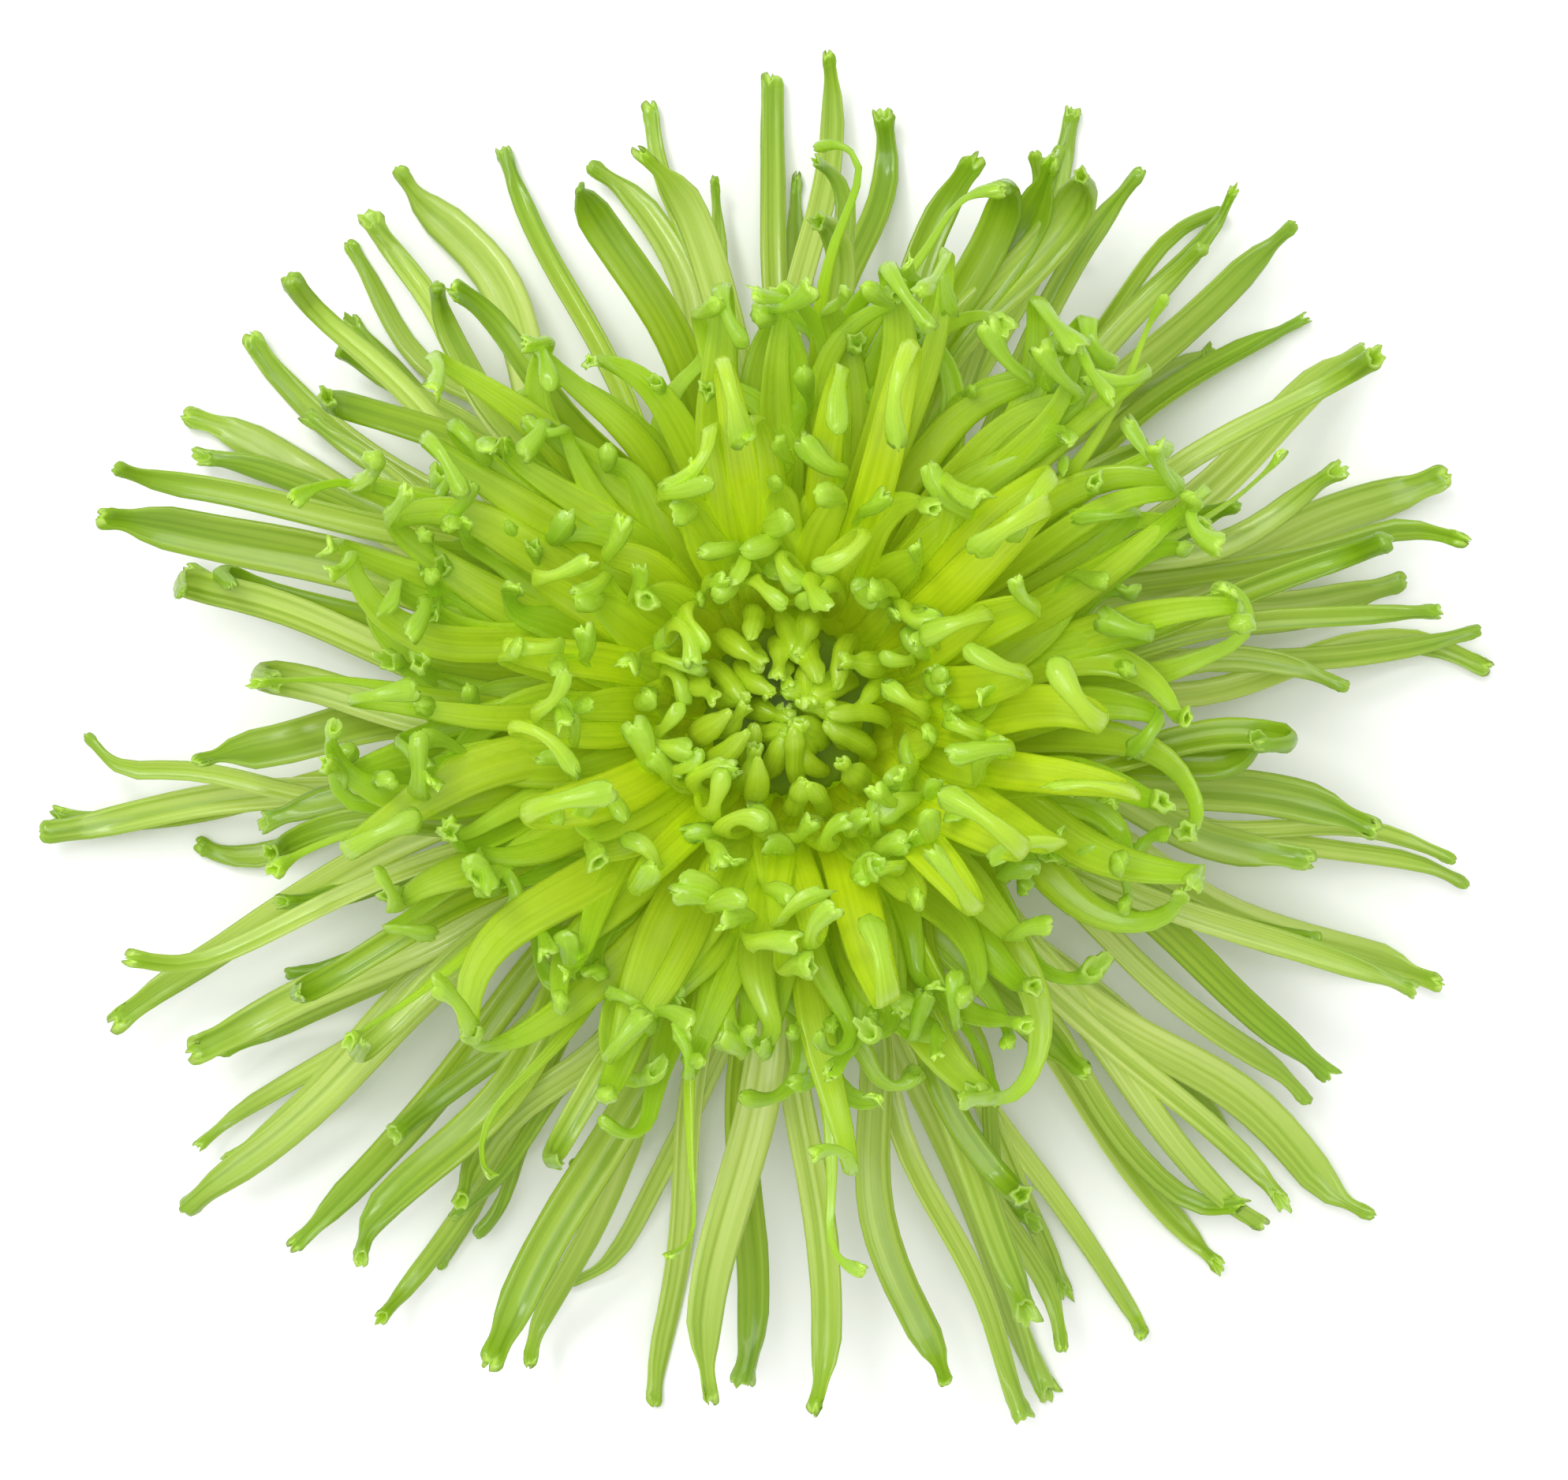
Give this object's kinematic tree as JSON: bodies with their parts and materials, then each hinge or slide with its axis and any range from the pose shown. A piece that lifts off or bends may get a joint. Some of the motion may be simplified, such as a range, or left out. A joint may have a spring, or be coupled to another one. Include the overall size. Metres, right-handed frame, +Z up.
{
  "type": "spider chrysanthemum head",
  "caption": "Cut spider chrysanthemum head lying face up: long quill florets round a crater of hooked ones and a tight middle of buds",
  "frame": {"origin": "On the surface that the bloom lies on, under the middle of its outline", "axes": "+Z up, out of the bloom's face; +X and +Y across the bloom, +Y towards the upper side as it is looked down on"},
  "size_m": [0.1398, 0.1314, 0.0467],
  "materials": {
    "stem": "finely hairy green stem, paler where it is cut",
    "bracts": "matte green bracts with thin pale margins",
    "outer_floret": "soft waxy petal, pale green with fine lengthwise veins",
    "middle_floret": "soft waxy petal, bright lime green, glossier at the tip",
    "inner_floret": "soft waxy petal, yellow-green",
    "centre_floret": "smooth glossy bud, light yellow-green"
  },
  "bodies": {
    "root": {"stem_and_receptacle": "stem", "involucre": "bracts", "outer_florets": "outer_floret", "middle_florets": "middle_floret", "inner_florets": "inner_floret", "centre_florets": "centre_floret"}
  },
  "joints": []
}
